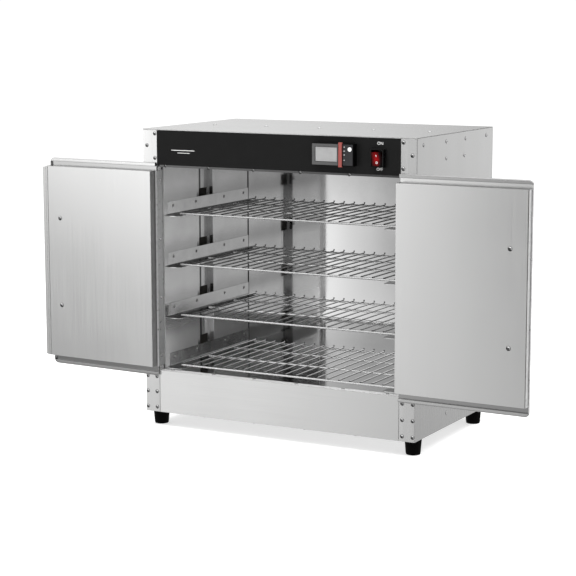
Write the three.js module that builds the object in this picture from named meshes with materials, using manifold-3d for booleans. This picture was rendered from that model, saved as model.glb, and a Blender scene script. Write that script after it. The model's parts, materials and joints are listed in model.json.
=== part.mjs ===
// Countertop food holding cabinet: a double-walled stainless box with two doors, four wire racks
// on angle rails, a black control fascia and a heater under the chamber floor.
// Millimetres, +Z up. The cabinet's own sizes are measured from the front plane (y = 0) and from
// the underside of its base (z = 0); the whole group is then moved to its origin, which is on the
// floor under the middle of the cabinet. The doors stand open at rest.
import * as THREE from "three";
import { mergeVertices } from "three/addons/utils/BufferGeometryUtils.js";
import Module from "manifold-3d";

const wasm = await Module();
wasm.setup();

// ---------------------------------------------------------------- driving dimensions
const WIDTH = 635;
const DEPTH = 392;
const HEIGHT = 609; // without the feet
const FOOT_HEIGHT = 32;
const SHEET = 1.2; // sheet metal thickness
const GAP = 0.3; // clearance between neighbouring pieces
const ORIGIN_BACK = 188; // the origin lies this far behind the front plane

const POST = 35; // front width of each post
const JAMB = 30; // depth of the post's inner return
const FASCIA_BOTTOM = 533.5;
const KICK_TOP = 91.5;
const LIP = 2.5; // height of the top cover's front lip

const CHAMBER_HALF = 279; // from the middle to a side liner
const LINER_FRONT = 18.5; // where the side liners begin, behind the hinge leaves
const CHAMBER_BACK = 380;
const CHAMBER_TOP = 529;
const CHAMBER_FLOOR = 89.5;
const DUCT = { front: 162, back: 222, deep: 12 }; // the air channel folded into each side liner

const LEVELS = 4;
const TOP_LEVEL = 427; // height of the highest rack's cross wires
const LEVEL_PITCH = 109.7;
const RAIL = { front: 14, webFront: 32, back: 378, ledge: 40.7, web: 28.7 };
const RACK = { half: 254, front: 45, back: 370, cross: 4.5, wire: 3, tip: 12 };
const WIRE_PITCH = 25.2;
const WIRES = 21;

const PIN_FORWARD = 6; // the hinge pins lie this far in front of the front plane
const PIN_RADIUS = 1.2;
const KNUCKLE_RADIUS = 2.5;
const KNUCKLES = 9;
const LEFT_OPEN = 183; // degrees from closed to the rest pose
const RIGHT_OPEN = 178.5;
const SKIN = { from: 0.8, to: 281.7, bottom: 80.8, top: 538.4, front: -4, back: 2, wall: 1, hem: 8, corner: 10 };
const PAN = { from: 3.4, to: 279.5, bottom: 102, top: 521.4, front: -2.7, back: 19, wall: 1 };
const HANDLE = { at: 244, low: 216, high: 408, out: 26, radius: 5, bend: 12 };

const CONTROLLER = { left: 94, right: 186.6, bottom: 549, top: 593.5, proud: 16 };
const WINDOW = { left: 102, right: 150, bottom: 557, top: 586, recess: 2.4 };
const BUTTON = { x: 178.7, z: 582.7, radius: 4.4, proud: 1.5, long: 5 };
const SWITCH = { x: 235, z: 567, tilt: 12, pivot: 3 };
const GLAND = { x: 230, z: 45, bore: 8 };
const FOOT = { x: 299.9, front: 33, back: DEPTH - 45 };

const HALF = WIDTH / 2;
const OPENING = HALF - POST; // half of the door opening

// ---------------------------------------------------------------- materials
const finish = (color, roughness, metalness) => new THREE.MeshStandardMaterial({ color, roughness, metalness });
const BRUSHED = finish(0xc8c9c8, 0.35, 1);
const POLISHED = finish(0xb9bab9, 0.15, 1);
const WIRE = finish(0xdadada, 0.18, 1);
const BLACK_PANEL = finish(0x262626, 0.45, 0.1);
const BLACK_PLASTIC = finish(0x121212, 0.5, 0);
const GREY_PLASTIC = finish(0xb4b6b5, 0.35, 0);
const RED_PLASTIC = finish(0xd6696a, 0.4, 0);
const RED_LENS = finish(0xb00712, 0.25, 0);
const WHITE_PLASTIC = finish(0xf0f0ee, 0.4, 0);
const RUBBER = finish(0x0d0d0d, 0.8, 0);
const WOOL = finish(0x8d8a80, 0.95, 0);
const HEATER_STEEL = finish(0x6f6a64, 0.5, 0.9);

// ---------------------------------------------------------------- solids
function flipped(geometry) {
  const index = geometry.index.array;
  for (let i = 0; i < index.length; i += 3) {
    [index[i], index[i + 1]] = [index[i + 1], index[i]];
  }
  geometry.computeVertexNormals();
  return geometry;
}

function indexed(geometry) {
  const bare = geometry.clone();
  bare.deleteAttribute("normal");
  bare.deleteAttribute("uv");
  return mergeVertices(bare, 1e-4);
}

function signedVolume(geometry) {
  const at = (i) => new THREE.Vector3().fromBufferAttribute(geometry.attributes.position, i);
  const index = geometry.index.array;
  let volume = 0;
  for (let i = 0; i < index.length; i += 3) {
    volume += at(index[i]).dot(at(index[i + 1]).cross(at(index[i + 2]))) / 6;
  }
  return volume;
}

// A closed geometry with shared corners and its faces pointing out.
function closed(geometry) {
  const shared = indexed(geometry);
  return signedVolume(shared) < 0 ? flipped(shared) : shared;
}

function toSolid(geometry) {
  const shared = closed(geometry);
  return new wasm.Manifold(
    new wasm.Mesh({
      numProp: 3,
      vertProperties: new Float32Array(shared.attributes.position.array),
      triVerts: new Uint32Array(shared.index.array),
    }),
  );
}

function toGeometry(solid) {
  const mesh = solid.getMesh();
  const geometry = new THREE.BufferGeometry();
  geometry.setAttribute("position", new THREE.BufferAttribute(mesh.vertProperties, 3));
  geometry.setIndex(new THREE.BufferAttribute(mesh.triVerts, 1));
  return geometry;
}

const join = (...pieces) => toGeometry(pieces.map(toSolid).reduce((whole, piece) => whole.add(piece)));
const cut = (base, ...tools) =>
  toGeometry(tools.map(toSolid).reduce((whole, tool) => whole.subtract(tool), toSolid(base)));

function mirrored(geometry) {
  const copy = indexed(geometry);
  copy.scale(-1, 1, 1);
  return closed(copy);
}

const sided = (side, geometry) => (side === "left" ? geometry : mirrored(geometry));

function block(x0, x1, y0, y1, z0, z1) {
  const geometry = new THREE.BoxGeometry(x1 - x0, y1 - y0, z1 - z0);
  return geometry.translate((x0 + x1) / 2, (y0 + y1) / 2, (z0 + z1) / 2);
}

function outlineShape(outline) {
  return outline instanceof THREE.Shape ? outline : new THREE.Shape(outline.map(([a, b]) => new THREE.Vector2(a, b)));
}

function extruded(outline, depth, curveSegments = 6) {
  return new THREE.ExtrudeGeometry(outlineShape(outline), { depth, bevelEnabled: false, curveSegments });
}

// An outline in x and y, raised from z0 to z1.
const prismZ = (outline, z0, z1) => extruded(outline, z1 - z0).translate(0, 0, z0);

// An outline in y and z, drawn out from x0 to x1.
function prismX(outline, x0, x1) {
  const turn = new THREE.Matrix4().makeBasis(
    new THREE.Vector3(0, 1, 0),
    new THREE.Vector3(0, 0, 1),
    new THREE.Vector3(1, 0, 0),
  );
  return extruded(outline, x1 - x0).applyMatrix4(turn).translate(x0, 0, 0);
}

// An outline in x and z, drawn out from y0 to y1.
const prismY = (outline, y0, y1) => extruded(outline, y1 - y0).rotateX(Math.PI / 2).translate(0, y1, 0);

// The section of a folded sheet: its outer line, and the same line moved to its left by the sheet.
function folded(path) {
  const line = path.map(([a, b]) => new THREE.Vector2(a, b));
  const normals = line.slice(1).map((end, i) => {
    const run = end.clone().sub(line[i]).normalize();
    return new THREE.Vector2(-run.y, run.x);
  });
  const moved = line.map((point, i) => {
    const before = normals[Math.max(i - 1, 0)];
    const after = normals[Math.min(i, normals.length - 1)];
    const both = before.clone().add(after);
    return point.clone().addScaledVector(both, (2 * SHEET) / both.lengthSq());
  });
  return new THREE.Shape([...line, ...moved.reverse()]);
}

// A rectangle whose two corners at the high end of its first axis are round.
function roundedAtEnd(a0, a1, b0, b1, radius) {
  const shape = new THREE.Shape();
  shape.moveTo(a0, b0);
  shape.lineTo(a1 - radius, b0);
  shape.absarc(a1 - radius, b0 + radius, radius, -Math.PI / 2, 0);
  shape.absarc(a1 - radius, b1 - radius, radius, 0, Math.PI / 2);
  shape.lineTo(a0, b1);
  return shape;
}

function circle(radius, sides) {
  const corners = Array.from({ length: sides }, (_, i) => (2 * Math.PI * (i + 0.5)) / sides);
  return new THREE.Shape(corners.map((turn) => new THREE.Vector2(radius * Math.cos(turn), radius * Math.sin(turn))));
}

const rod = (radius, z0, z1, sides = 8) => prismZ(circle(radius, sides), z0, z1);

function tube(path, radius, steps, sides = 8) {
  return new THREE.ExtrudeGeometry(circle(radius, sides), { steps, extrudePath: path, bevelEnabled: false });
}

function turned(profile, sides = 20) {
  return new THREE.LatheGeometry(
    profile.map(([radius, along]) => new THREE.Vector2(radius, along)),
    sides,
  );
}

// ---------------------------------------------------------------- the assembly
const cabinet = new THREE.Group();
cabinet.position.set(0, -ORIGIN_BACK, FOOT_HEIGHT);

function add(parent, name, geometry, material) {
  const mesh = new THREE.Mesh(closed(geometry), material);
  mesh.name = name;
  parent.add(mesh);
  return mesh;
}

function outerShell() {
  const wallTop = HEIGHT - SHEET - GAP;
  const flangeFront = SHEET + GAP;
  const backFace = DEPTH - SHEET;
  const side = prismZ(
    folded([
      [-HALF, backFace - GAP],
      [-HALF, flangeFront],
      [-OPENING, flangeFront],
      [-OPENING, JAMB],
    ]),
    0,
    wallTop,
  );
  for (const name of ["left", "right"]) {
    add(cabinet, `${name}_side_panel`, sided(name, side), BRUSHED);
  }

  const flangeOut = HALF - SHEET - GAP;
  const flangeLow = HEIGHT - 26;
  add(
    cabinet,
    "top_cover",
    join(
      block(-HALF, HALF, 0, DEPTH, HEIGHT - SHEET, HEIGHT),
      block(-HALF, HALF, 0, SHEET, HEIGHT - LIP, HEIGHT - SHEET / 2),
      block(-flangeOut, SHEET - flangeOut, JAMB + 5, backFace - 12, flangeLow, HEIGHT - SHEET / 2),
      block(flangeOut - SHEET, flangeOut, JAMB + 5, backFace - 12, flangeLow, HEIGHT - SHEET / 2),
    ),
    BRUSHED,
  );

  const glandHole = rod(GLAND.bore, -5, 5, 16).rotateX(Math.PI / 2).translate(GLAND.x, DEPTH, GLAND.z);
  add(cabinet, "back_panel", cut(block(-HALF, HALF, backFace, DEPTH, 0, wallTop), glandHole), BRUSHED);

  const baseHalf = HALF - SHEET - GAP;
  const baseFront = flangeFront + SHEET + GAP;
  const baseNeck = OPENING - GAP;
  add(
    cabinet,
    "base_panel",
    prismZ(
      [
        [-baseNeck, baseFront],
        [baseNeck, baseFront],
        [baseNeck, JAMB + GAP],
        [baseHalf, JAMB + GAP],
        [baseHalf, backFace - GAP],
        [-baseHalf, backFace - GAP],
        [-baseHalf, JAMB + GAP],
        [-baseNeck, JAMB + GAP],
      ],
      0,
      SHEET,
    ),
    BRUSHED,
  );
}

function frontPanels() {
  const sillDepth = LINER_FRONT - GAP;
  add(
    cabinet,
    "kick_panel",
    prismX(
      folded([
        [sillDepth, KICK_TOP],
        [0, KICK_TOP],
        [0, 0],
      ]),
      GAP - OPENING,
      OPENING - GAP,
    ),
    BRUSHED,
  );

  const fasciaTop = HEIGHT - LIP - GAP;
  const inset = 3.4; // the controller's case behind the fascia is this much smaller than its front
  const controllerHole = block(
    CONTROLLER.left + inset,
    CONTROLLER.right - inset,
    -5,
    5,
    CONTROLLER.bottom + inset,
    CONTROLLER.top - inset,
  );
  const switchHole = block(SWITCH.x - 15, SWITCH.x + 15, -5, 5, SWITCH.z - 18, SWITCH.z + 18);
  add(
    cabinet,
    "control_fascia",
    cut(block(-OPENING, OPENING, 0, SHEET, FASCIA_BOTTOM, fasciaTop), controllerHole, switchHole),
    BLACK_PANEL,
  );

  const plates = { upper: [FASCIA_BOTTOM + GAP, fasciaTop], lower: [0, KICK_TOP - GAP] };
  for (const [level, [bottom, top]] of Object.entries(plates)) {
    const plate = block(-HALF + 0.6, -OPENING - GAP, 0, SHEET, bottom, top);
    for (const name of ["left", "right"]) {
      add(cabinet, `${level}_${name}_corner_plate`, sided(name, plate), BRUSHED);
    }
  }
}

function chamber() {
  const backEnd = CHAMBER_BACK - GAP;
  const ductX = -CHAMBER_HALF - DUCT.deep;
  const wall = prismZ(
    folded([
      [-CHAMBER_HALF, LINER_FRONT],
      [-CHAMBER_HALF, DUCT.front],
      [ductX, DUCT.front],
      [ductX, DUCT.back],
      [-CHAMBER_HALF, DUCT.back],
      [-CHAMBER_HALF, backEnd],
    ]),
    CHAMBER_FLOOR + GAP,
    CHAMBER_TOP - GAP,
  );
  const slots = levelHeights().map((z) =>
    block(ductX - 4, ductX + 4, DUCT.front + 6, DUCT.back - 6, z + 14, z + 40),
  );
  const slottedWall = cut(wall, ...slots);
  for (const name of ["left", "right"]) {
    add(cabinet, `liner_${name}_wall`, sided(name, slottedWall), POLISHED);
  }
  add(
    cabinet,
    "liner_back_wall",
    block(ductX, -ductX, CHAMBER_BACK, CHAMBER_BACK + SHEET, CHAMBER_FLOOR - 1, CHAMBER_TOP + 16),
    POLISHED,
  );

  const flangeFront = SHEET + 2 * GAP;
  add(
    cabinet,
    "liner_ceiling",
    prismX(
      folded([
        [flangeFront, CHAMBER_TOP + 19],
        [flangeFront, CHAMBER_TOP],
        [backEnd, CHAMBER_TOP],
      ]),
      GAP - OPENING,
      OPENING - GAP,
    ),
    POLISHED,
  );
  add(
    cabinet,
    "liner_floor",
    block(GAP - OPENING, OPENING - GAP, 3, backEnd, CHAMBER_FLOOR - SHEET, CHAMBER_FLOOR),
    POLISHED,
  );

  const insulationOut = HALF - SHEET - GAP;
  const insulationIn = -ductX + SHEET + GAP;
  const side = block(-insulationOut, -insulationIn, JAMB + 1, CHAMBER_BACK + SHEET, SHEET + GAP, HEIGHT - 27);
  for (const name of ["left", "right"]) {
    add(cabinet, `${name}_insulation`, sided(name, side), WOOL);
  }
  const backInsulation = block(
    -insulationOut,
    insulationOut,
    CHAMBER_BACK + SHEET + GAP,
    DEPTH - SHEET - GAP,
    SHEET + GAP,
    HEIGHT - 27,
  );
  const glandRoom = block(GLAND.x - 16, GLAND.x + 16, 300, DEPTH, 0, GLAND.z + 16);
  add(cabinet, "back_insulation", cut(backInsulation, glandRoom), WOOL);
}

function levelHeights() {
  return Array.from({ length: LEVELS }, (_, i) => TOP_LEVEL - i * LEVEL_PITCH);
}

// An angle rail for one level: an upright web against the liner and a ledge under the rack.
function rail(level) {
  const top = level - RACK.cross / 2 - GAP;
  const bottom = top - SHEET;
  const outside = -CHAMBER_HALF + GAP;
  const web = new THREE.Shape();
  const round = 6;
  web.moveTo(RAIL.webFront, bottom);
  web.lineTo(RAIL.back, bottom);
  web.lineTo(RAIL.back, bottom + RAIL.web);
  web.lineTo(RAIL.webFront + round, bottom + RAIL.web);
  web.absarc(RAIL.webFront + round, bottom + RAIL.web - round, round, Math.PI / 2, Math.PI);
  const ledge = new THREE.Shape();
  const corner = 10;
  ledge.moveTo(outside, RAIL.back);
  ledge.lineTo(outside, RAIL.front);
  ledge.lineTo(outside + RAIL.ledge - corner, RAIL.front);
  ledge.absarc(outside + RAIL.ledge - corner, RAIL.front + corner, corner, -Math.PI / 2, 0);
  ledge.lineTo(outside + RAIL.ledge, RAIL.back);
  return join(prismX(web, outside, outside + SHEET), prismZ(ledge, bottom, top));
}

// A welded wire rack: long wires with turned-up tips lie on four cross wires.
function rack(level) {
  const halfCross = RACK.cross / 2;
  const bury = 0.5; // how far a long wire is welded into the cross wires
  const low = level + halfCross - bury;
  const high = low + RACK.wire;
  const crossPlaces = [RACK.front, 160, 270, RACK.back - 8];
  const crossWires = crossPlaces.map((y) =>
    block(-RACK.half, RACK.half, y - halfCross, y + halfCross, level - halfCross, level + halfCross),
  );
  const front = RACK.front - halfCross + 0.4;
  const profile = [
    [front, low],
    [RACK.back, low],
    [RACK.back, level + RACK.tip],
    [RACK.back - RACK.wire, level + RACK.tip],
    [RACK.back - RACK.wire, high],
    [front, high],
  ];
  const longWires = Array.from({ length: WIRES }, (_, i) => {
    const x = (i - (WIRES - 1) / 2) * WIRE_PITCH;
    return prismX(profile, x - RACK.wire / 2, x + RACK.wire / 2);
  });
  return join(...crossWires, ...longWires);
}

function racksAndRails() {
  levelHeights().forEach((level, i) => {
    for (const name of ["left", "right"]) {
      add(cabinet, `${name}_rail_${i + 1}`, sided(name, rail(level)), POLISHED);
    }
    add(cabinet, `wire_rack_${i + 1}`, rack(level), WIRE);
  });
}

function heating() {
  const shieldTop = 18;
  add(
    cabinet,
    "heat_shield",
    prismY(
      folded([
        [-268, SHEET + GAP],
        [-268, shieldTop],
        [268, shieldTop],
        [268, SHEET + GAP],
      ]),
      40,
      370,
    ),
    BRUSHED,
  );

  const rows = [85, 165, 245, 325];
  const reach = 205;
  const tubeHeight = 56;
  const points = rows.flatMap((y, i) => {
    const from = i % 2 === 0 ? -reach : reach;
    const run = [new THREE.Vector3(from, y, tubeHeight), new THREE.Vector3(-from, y, tubeHeight)];
    const bend = new THREE.Vector3(-from * 1.19, y + 40, tubeHeight);
    return i < rows.length - 1 ? [...run, bend] : run;
  });
  const path = new THREE.CatmullRomCurve3(points, false, "centripetal");
  add(cabinet, "heater_element", tube(path, 4, 52, 6), HEATER_STEEL);
  add(
    cabinet,
    "heater_bracket",
    prismX(
      folded([
        [355, shieldTop + SHEET + GAP],
        [355, 50],
        [55, 50],
        [55, shieldTop + SHEET + GAP],
      ]),
      -12,
      12,
    ),
    BRUSHED,
  );

  add(cabinet, "thermal_cutout", rod(9, 78, CHAMBER_FLOOR - SHEET - GAP, 16).translate(150, 205, 0), BLACK_PLASTIC);

  const probe = rod(2.5, -30, 30).rotateX(Math.PI / 2).translate(267, 320, 505);
  const probeClip = block(266, CHAMBER_HALF - GAP, 316, 324, 501, 509);
  add(cabinet, "temperature_probe", join(probe, probeClip), WIRE);

  const blockBottom = CHAMBER_TOP + SHEET + GAP;
  const barriers = Array.from({ length: 6 }, (_, i) => {
    const x = -180 + i * 14;
    return block(x, x + 2, 118, 146, blockBottom, blockBottom + 20);
  });
  const terminalBase = block(-180, -108, 120, 144, blockBottom, blockBottom + 13);
  add(cabinet, "terminal_block", join(terminalBase, ...barriers), BLACK_PLASTIC);

  const gland = turned([
    [0, -8],
    [11, -8],
    [11, -SHEET - GAP],
    [GLAND.bore - GAP * 1.5, -SHEET - GAP],
    [GLAND.bore - GAP * 1.5, GAP],
    [12, GAP],
    [12, 4.5],
    [8, 11],
    [8, 15],
    [4.5, 15],
    [4.5, 9],
    [0, 9],
  ]);
  add(cabinet, "cord_gland", gland.translate(GLAND.x, DEPTH, GLAND.z), BLACK_PLASTIC);
}

function controller() {
  const c = CONTROLLER;
  const inset = 3.8;
  const windowRoom = 0.4;
  const recess = block(
    WINDOW.left - windowRoom,
    WINDOW.right + windowRoom,
    -c.proud - 1,
    -c.proud + WINDOW.recess,
    WINDOW.bottom - windowRoom,
    WINDOW.top + windowRoom,
  );
  const buttonHole = rod(BUTTON.radius + 0.5, -c.proud - 1, -c.proud + BUTTON.long, 16);
  buttonHole.rotateX(-Math.PI / 2).translate(BUTTON.x, 0, BUTTON.z);
  const shell = join(
    block(c.left, c.right, -c.proud, -GAP, c.bottom, c.top),
    block(c.left + inset, c.right - inset, -GAP - 1, 45, c.bottom + inset, c.top - inset),
  );
  add(cabinet, "controller_housing", cut(shell, recess, buttonHole), BLACK_PLASTIC);

  const windowFront = GAP - c.proud;
  add(
    cabinet,
    "controller_window",
    block(WINDOW.left, WINDOW.right, windowFront, windowFront + 1.6, WINDOW.bottom, WINDOW.top),
    GREY_PLASTIC,
  );

  const button = rod(BUTTON.radius, -c.proud - BUTTON.proud, -c.proud - BUTTON.proud + BUTTON.long, 16);
  add(cabinet, "controller_button", button.rotateX(-Math.PI / 2).translate(BUTTON.x, 0, BUTTON.z), WHITE_PLASTIC);

  const clipOut = 2.2;
  const clipIn = GAP;
  add(
    cabinet,
    "controller_clip",
    prismX(
      [
        [-GAP - 0.2, c.top + clipOut],
        [-c.proud - clipOut, c.top + clipOut],
        [-c.proud - clipOut, c.bottom - clipOut],
        [-GAP - 0.2, c.bottom - clipOut],
        [-GAP - 0.2, c.bottom - clipIn],
        [-c.proud - clipIn, c.bottom - clipIn],
        [-c.proud - clipIn, c.top + clipIn],
        [-GAP - 0.2, c.top + clipIn],
      ],
      152.7,
      163.3,
    ),
    RED_PLASTIC,
  );
}

function powerSwitch() {
  const { x, z } = SWITCH;
  const collarFront = -10.8;
  const body = join(
    block(x - 17.5, x + 17.5, -GAP - SWITCH.pivot + 0.5, -GAP, z - 20.5, z + 20.5),
    block(x - 14.5, x + 14.5, collarFront, 22, z - 17.5, z + 17.5),
  );
  const well = block(x - 11.7, x + 11.7, collarFront - 1, 7, z - 16.3, z + 16.3);
  add(cabinet, "rocker_bezel", cut(body, well), BLACK_PLASTIC);

  // The rocker turns about its own pivot; at rest its lower end is pressed in, which is off.
  const pivot = new THREE.Group();
  pivot.position.set(x, -SWITCH.pivot, z);
  pivot.rotation.x = THREE.MathUtils.degToRad(SWITCH.tilt);
  cabinet.add(pivot);
  const profile = [
    [-10.2, 14],
    [-7.6, 0],
    [-10.2, -14],
    [3, -11.5],
    [5, 0],
    [3, 11.5],
  ];
  add(pivot, "rocker", prismX(profile, -11, 11), RED_LENS);
}

// Knuckles from the bottom of the hinge to its top; each leaf takes every second one.
function leafKnuckles(first, tab) {
  const pitch = (PAN.top - PAN.bottom) / KNUCKLES;
  const mine = Array.from({ length: KNUCKLES }, (_, i) => i).filter((i) => i % 2 === first);
  return mine.flatMap((i) => {
    const bottom = PAN.bottom + i * pitch + GAP;
    const top = bottom + pitch - 2 * GAP;
    return [rod(KNUCKLE_RADIUS, bottom, top), block(tab[0], tab[1], 0, 4, bottom, top)];
  });
}

function hingeLeaves(name, doorGroup, fixedGroup) {
  const plateFront = KNUCKLE_RADIUS + GAP;
  const fixedTab = [GAP, GAP + 1];
  const fixedPlate = block(fixedTab[0], fixedTab[1], plateFront, 23, PAN.bottom, PAN.top);
  const pinRoom = rod(PIN_RADIUS + GAP, PAN.bottom - 5, PAN.top + 5);
  add(
    fixedGroup,
    `${name}_hinge_post_leaf`,
    sided(name, cut(join(fixedPlate, ...leafKnuckles(0, fixedTab)), pinRoom)),
    BRUSHED,
  );

  const movingTab = [PAN.from - GAP - 1.2, PAN.from - GAP - 0.2];
  const movingPlate = block(movingTab[0], movingTab[1], plateFront, PAN.back - 1, PAN.bottom, PAN.top);
  const pin = rod(PIN_RADIUS, PAN.bottom + GAP, PAN.top - GAP);
  add(
    doorGroup,
    `${name}_hinge_door_leaf`,
    sided(name, join(movingPlate, ...leafKnuckles(1, movingTab), pin)),
    BRUSHED,
  );
}

// The outer skin: a shallow tray with an upright free edge and a folded hem along its top and bottom.
function doorSkin() {
  const tray = prismY(
    roundedAtEnd(SKIN.from, SKIN.to, SKIN.bottom, SKIN.top, SKIN.corner),
    SKIN.front,
    SKIN.back,
  );
  const hollow = (fromEnds, back) =>
    prismY(
      roundedAtEnd(
        SKIN.from - 20,
        SKIN.to - SKIN.wall,
        SKIN.bottom + fromEnds,
        SKIN.top - fromEnds,
        SKIN.corner - fromEnds,
      ),
      SKIN.front + SKIN.wall,
      back,
    );
  return cut(tray, hollow(SKIN.wall, SKIN.back - SKIN.wall), hollow(SKIN.hem, SKIN.back + 1));
}

// The inner pan, open towards the skin; the left one carries a lip that laps over the gap.
function doorPan(withLip) {
  const { wall } = PAN;
  const pan = cut(
    block(PAN.from, PAN.to, PAN.front, PAN.back, PAN.bottom, PAN.top),
    block(
      PAN.from + wall,
      PAN.to - wall,
      PAN.front - 1,
      PAN.back - wall,
      PAN.bottom + wall,
      PAN.top - wall,
    ),
  );
  if (!withLip) {
    return pan;
  }
  const lip = [
    [PAN.to - 3.5, PAN.back - 0.5],
    [PAN.to + 0.3, PAN.back - 0.5],
    [PAN.to + 11.5, PAN.back + 2.5],
    [PAN.to + 11.2, PAN.back + 3.4],
    [PAN.to, PAN.back + 0.9],
    [PAN.to - 3.5, PAN.back + 0.9],
  ];
  return join(pan, prismZ(lip, PAN.bottom + 0.5, PAN.top - 1.5));
}

function handleBar() {
  const outer = SKIN.front - HANDLE.out;
  const at = (y, z) => new THREE.Vector3(HANDLE.at, y, z);
  const { low, high, bend } = HANDLE;
  const path = new THREE.CurvePath();
  path.add(new THREE.LineCurve3(at(SKIN.front - GAP, low), at(outer + bend, low)));
  path.add(new THREE.QuadraticBezierCurve3(at(outer + bend, low), at(outer, low), at(outer, low + bend)));
  path.add(new THREE.LineCurve3(at(outer, low + bend), at(outer, high - bend)));
  path.add(new THREE.QuadraticBezierCurve3(at(outer, high - bend), at(outer, high), at(outer + bend, high)));
  path.add(new THREE.LineCurve3(at(outer + bend, high), at(SKIN.front - GAP, high)));
  return tube(path, HANDLE.radius, 34);
}

function door(name, openAngle) {
  const direction = name === "left" ? -1 : 1;
  const fixedGroup = new THREE.Group();
  fixedGroup.position.set(direction * OPENING, -PIN_FORWARD, 0);
  const doorGroup = new THREE.Group();
  doorGroup.position.copy(fixedGroup.position);
  doorGroup.rotation.z = THREE.MathUtils.degToRad(direction * openAngle);
  cabinet.add(fixedGroup, doorGroup);

  hingeLeaves(name, doorGroup, fixedGroup);
  add(doorGroup, `${name}_door_skin`, sided(name, doorSkin()), BRUSHED);
  add(doorGroup, `${name}_door_pan`, sided(name, doorPan(name === "left")), BRUSHED);
  const filling = block(
    PAN.from + PAN.wall + GAP,
    PAN.to - PAN.wall - GAP,
    SKIN.front + 1 + GAP,
    PAN.back - PAN.wall - GAP,
    PAN.bottom + PAN.wall + GAP,
    PAN.top - PAN.wall - GAP,
  );
  add(doorGroup, `${name}_door_insulation`, sided(name, filling), WOOL);
  add(doorGroup, `${name}_door_handle`, sided(name, handleBar()), BRUSHED);
}

function feet() {
  const profile = [
    [0, -FOOT_HEIGHT],
    [14.2, -FOOT_HEIGHT],
    [15.6, -FOOT_HEIGHT + 1.4],
    [17.5, -GAP],
    [0, -GAP],
  ];
  const places = { front: FOOT.front, rear: FOOT.back };
  for (const [end, y] of Object.entries(places)) {
    for (const [name, x] of [["left", -FOOT.x], ["right", FOOT.x]]) {
      const foot = turned(profile).rotateX(Math.PI / 2).translate(x, y, 0);
      add(cabinet, `${end}_${name}_foot`, foot, RUBBER);
    }
  }
}

outerShell();
frontPanels();
chamber();
racksAndRails();
heating();
controller();
powerSwitch();
door("left", LEFT_OPEN);
door("right", RIGHT_OPEN);
feet();

const part = new THREE.Group();
part.add(cabinet);

export default part;
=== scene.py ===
"""Looks of a food holding cabinet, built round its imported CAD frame.

Blender works in metres, in the CAD frame: +X to the right, +Y to the back, +Z up. Places on the
cabinet are written in millimetres from the middle of its front plane, at the underside of its
base, and cab() turns them into the frame's metres.
"""
import json
import math

import bmesh
import bpy
from mathutils import Matrix, Vector


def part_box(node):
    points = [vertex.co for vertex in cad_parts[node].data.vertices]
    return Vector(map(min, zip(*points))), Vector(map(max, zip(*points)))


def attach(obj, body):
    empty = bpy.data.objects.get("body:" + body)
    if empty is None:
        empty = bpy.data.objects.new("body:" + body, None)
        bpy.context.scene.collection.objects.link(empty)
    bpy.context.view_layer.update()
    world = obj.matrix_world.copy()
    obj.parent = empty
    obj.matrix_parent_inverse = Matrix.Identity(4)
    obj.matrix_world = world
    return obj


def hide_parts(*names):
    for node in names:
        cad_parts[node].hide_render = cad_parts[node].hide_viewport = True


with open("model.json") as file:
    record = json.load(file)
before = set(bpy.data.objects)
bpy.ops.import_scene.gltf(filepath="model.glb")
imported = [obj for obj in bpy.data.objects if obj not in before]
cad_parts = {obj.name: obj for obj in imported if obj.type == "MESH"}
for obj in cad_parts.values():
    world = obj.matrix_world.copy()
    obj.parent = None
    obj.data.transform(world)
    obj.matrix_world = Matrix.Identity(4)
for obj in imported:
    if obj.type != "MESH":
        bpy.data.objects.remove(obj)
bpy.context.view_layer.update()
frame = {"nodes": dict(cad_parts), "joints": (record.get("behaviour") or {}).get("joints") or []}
nodes = frame["nodes"]

MM = 0.001
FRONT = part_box("kick_panel")[0].y
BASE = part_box("base_panel")[0].z
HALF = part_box("top_cover")[1].x / MM
DEPTH = (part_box("top_cover")[1].y - FRONT) / MM
HEIGHT = (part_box("top_cover")[1].z - BASE) / MM
LEVELS = (1, 2, 3, 4)
LEVEL_PITCH = 109.7
RAIL_TOP = 452.0  # the top edge of the highest rail's web
SIDES = {"left": -1, "right": 1}
SWITCH = {"x": 235, "z": 567, "pivot": -3, "tilt": 12}
SHRINK = Matrix.Scale(MM, 4)


def cab(x, y, z):
    """A place on the cabinet, given in millimetres, in the frame's metres."""
    return Vector((x * MM, FRONT + y * MM, BASE + z * MM))


def settle(piece, node=None, body="cabinet"):
    """Puts a piece on the body that carries it and hides the CAD node it stands for, if one is given.
    """
    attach(piece, body)
    if node:
        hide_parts(node)


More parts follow.
